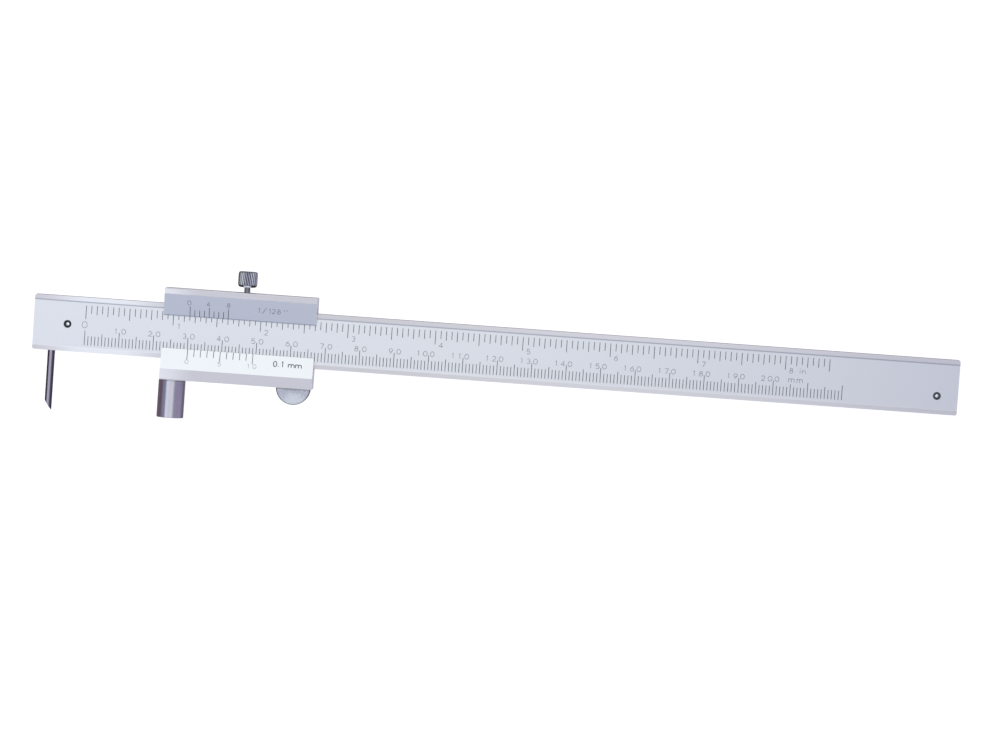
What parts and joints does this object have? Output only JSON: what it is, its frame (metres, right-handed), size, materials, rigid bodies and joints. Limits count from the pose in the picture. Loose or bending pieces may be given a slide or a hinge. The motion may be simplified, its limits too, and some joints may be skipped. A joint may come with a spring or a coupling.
{
  "type": "vernier marking caliper",
  "caption": "Vernier marking caliper with a carbide scriber on its graduated beam and a guide roller on its slider, for scribing lines parallel to an edge.",
  "frame": {"origin": "centre of the caliper's bounding box, on the bench that it lies on", "axes": "+X along the beam from the scriber's end to the far end, +Y across the beam towards the lock screw, +Z out of the scale face"},
  "size_m": [0.2686, 0.0442, 0.008],
  "materials": {
    "satin_steel": "satin chromed scale faces with ground edges",
    "polished_steel": "ground and polished hardened steel",
    "turned_steel": "faced on a lathe",
    "knurled_steel": "knurled",
    "screw_steel": "plain steel",
    "black_oxide_steel": "black oxide",
    "carbide": "ground carbide",
    "bronze": "plain bronze"
  },
  "bodies": {
    "beam": {"beam": "satin_steel", "scriber_screw": "black_oxide_steel", "zero_stop_screw": "black_oxide_steel", "end_stop_screw": "black_oxide_steel"},
    "scriber": {"scriber": "carbide"},
    "slider": {"slider_frame": "satin_steel", "gib_strip": "bronze", "gib_screw_left": "screw_steel", "gib_screw_right": "screw_steel", "roller_axle": "screw_steel", "roller_washer": "screw_steel", "thumb_rest": "turned_steel", "thumb_rest_dowel": "screw_steel"},
    "roller": {"roller": "polished_steel", "roller_bush": "bronze"},
    "lock_stem": {"lock_screw_stem": "screw_steel"},
    "lock_knob": {"lock_screw_knob": "knurled_steel"}
  },
  "joints": [
    {"name": "slider_travel", "type": "slide", "parent": "beam", "child": "slider", "axis": [1, 0, 0], "range_m": [-0.03015, 0.1793]},
    {"name": "scriber_height", "type": "slide", "parent": "beam", "child": "scriber", "axis": [0, 1, 0], "range_m": [-0.005, 0.003]},
    {"name": "roller_spin", "type": "hinge", "parent": "slider", "child": "roller", "pos_m": [-0.09315, -0.02, 0.004], "axis": [0, 1, 0], "continuous": true},
    {"name": "lock_stem_travel", "type": "slide", "parent": "slider", "child": "lock_stem", "axis": [0, 1, 0], "range_m": [0, 0.0008]},
    {"name": "lock_knob_turn", "type": "hinge", "parent": "lock_stem", "child": "lock_knob", "pos_m": [-0.0731, 0.02, 0.004], "axis": [0, 1, 0], "range_deg": [-1, 721]}
  ],
  "couplings": [
    {"joint": "lock_knob_turn", "follows": "lock_stem_travel", "rad_per_m": 15708}
  ]
}
